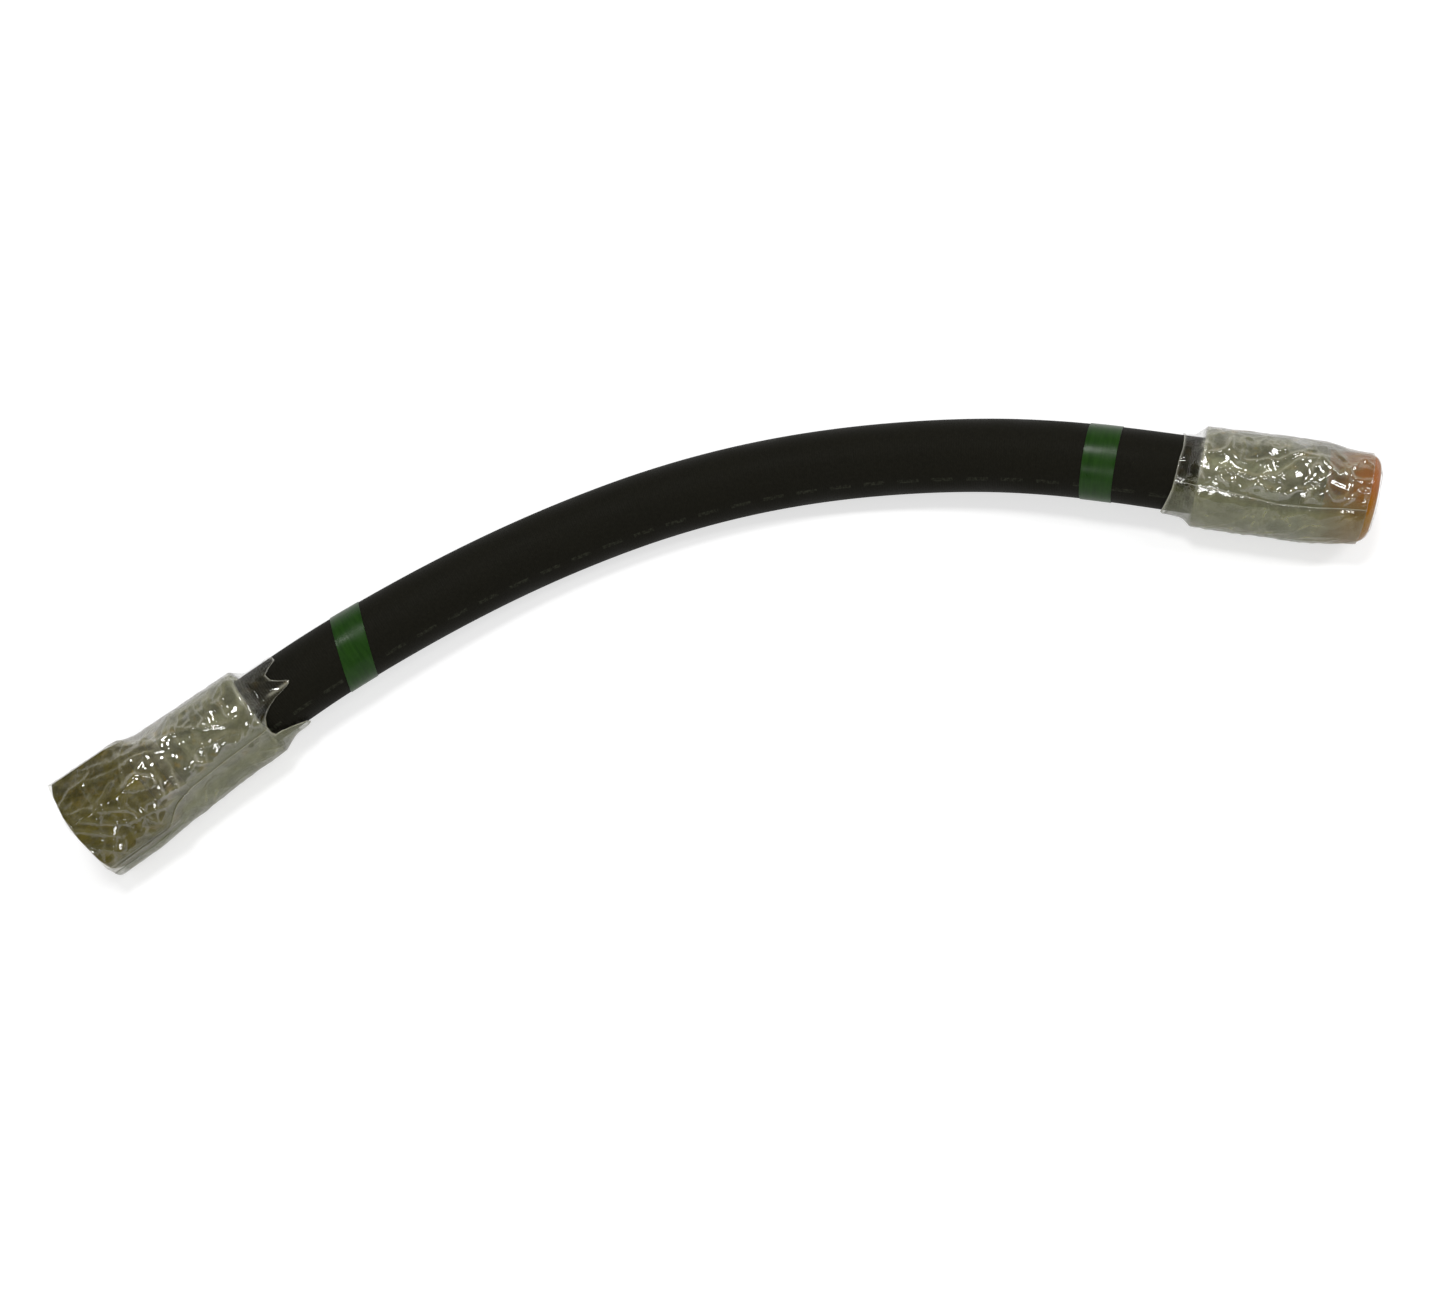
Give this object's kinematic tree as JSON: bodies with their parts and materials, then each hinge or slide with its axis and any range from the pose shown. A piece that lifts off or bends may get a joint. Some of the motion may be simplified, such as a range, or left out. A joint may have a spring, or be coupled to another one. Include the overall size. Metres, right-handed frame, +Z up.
{
  "type": "hydraulic hose assembly",
  "caption": "Short hydraulic hose lying in an arc, with a crimped swivel nut at one end, a capped male stud at the other, clear film over both ends and green marking tape.",
  "frame": {"origin": "on the surface that the assembly lies on, under the middle of the box round both end fittings and their film", "axes": "+X along the chord from the swivel nut end to the capped stud end, +Y to the outside of the hose's arc, +Z up"},
  "size_m": [0.3643, 0.0863, 0.0276],
  "materials": {
    "hose_rubber": "matt black rubber cover with a faint wrapped-cloth grain",
    "braid_wire": "brass-coated steel wire braid",
    "tube_rubber": "smooth black rubber",
    "zinc_steel": "turned steel with clear zinc plating",
    "ferrule_steel": "zinc-plated steel with crimp flats",
    "yellow_zinc": "yellow-passivated zinc on machined steel",
    "seal_rubber": "smooth black rubber",
    "cap_plastic": "soft orange-yellow moulded plastic",
    "green_tape": "glossy green adhesive tape",
    "clear_film": "thin, clear, crinkled stretch film"
  },
  "bodies": {
    "root": {"hose_cover": "hose_rubber", "wire_braid": "braid_wire", "inner_tube": "tube_rubber", "left_insert": "zinc_steel", "left_ferrule": "ferrule_steel", "nose_seal": "seal_rubber", "stud_fitting": "yellow_zinc", "right_ferrule": "ferrule_steel", "left_tape_band": "green_tape", "right_tape_band": "green_tape", "right_film": "clear_film"},
    "swivel_nut": {"swivel_nut": "yellow_zinc", "thrust_wire": "zinc_steel", "left_film": "clear_film"},
    "thread_cap": {"thread_cap": "cap_plastic"}
  },
  "joints": [
    {"name": "nut_spin", "type": "hinge", "parent": "root", "child": "swivel_nut", "pos_m": [-0.12612, 0.01193, 0.0138], "axis": [-0.9035, -0.4286, 0], "continuous": true},
    {"name": "cap_pull", "type": "slide", "parent": "root", "child": "thread_cap", "axis": [0.8777, -0.4792, 0], "range_m": [0, 0.02]}
  ]
}
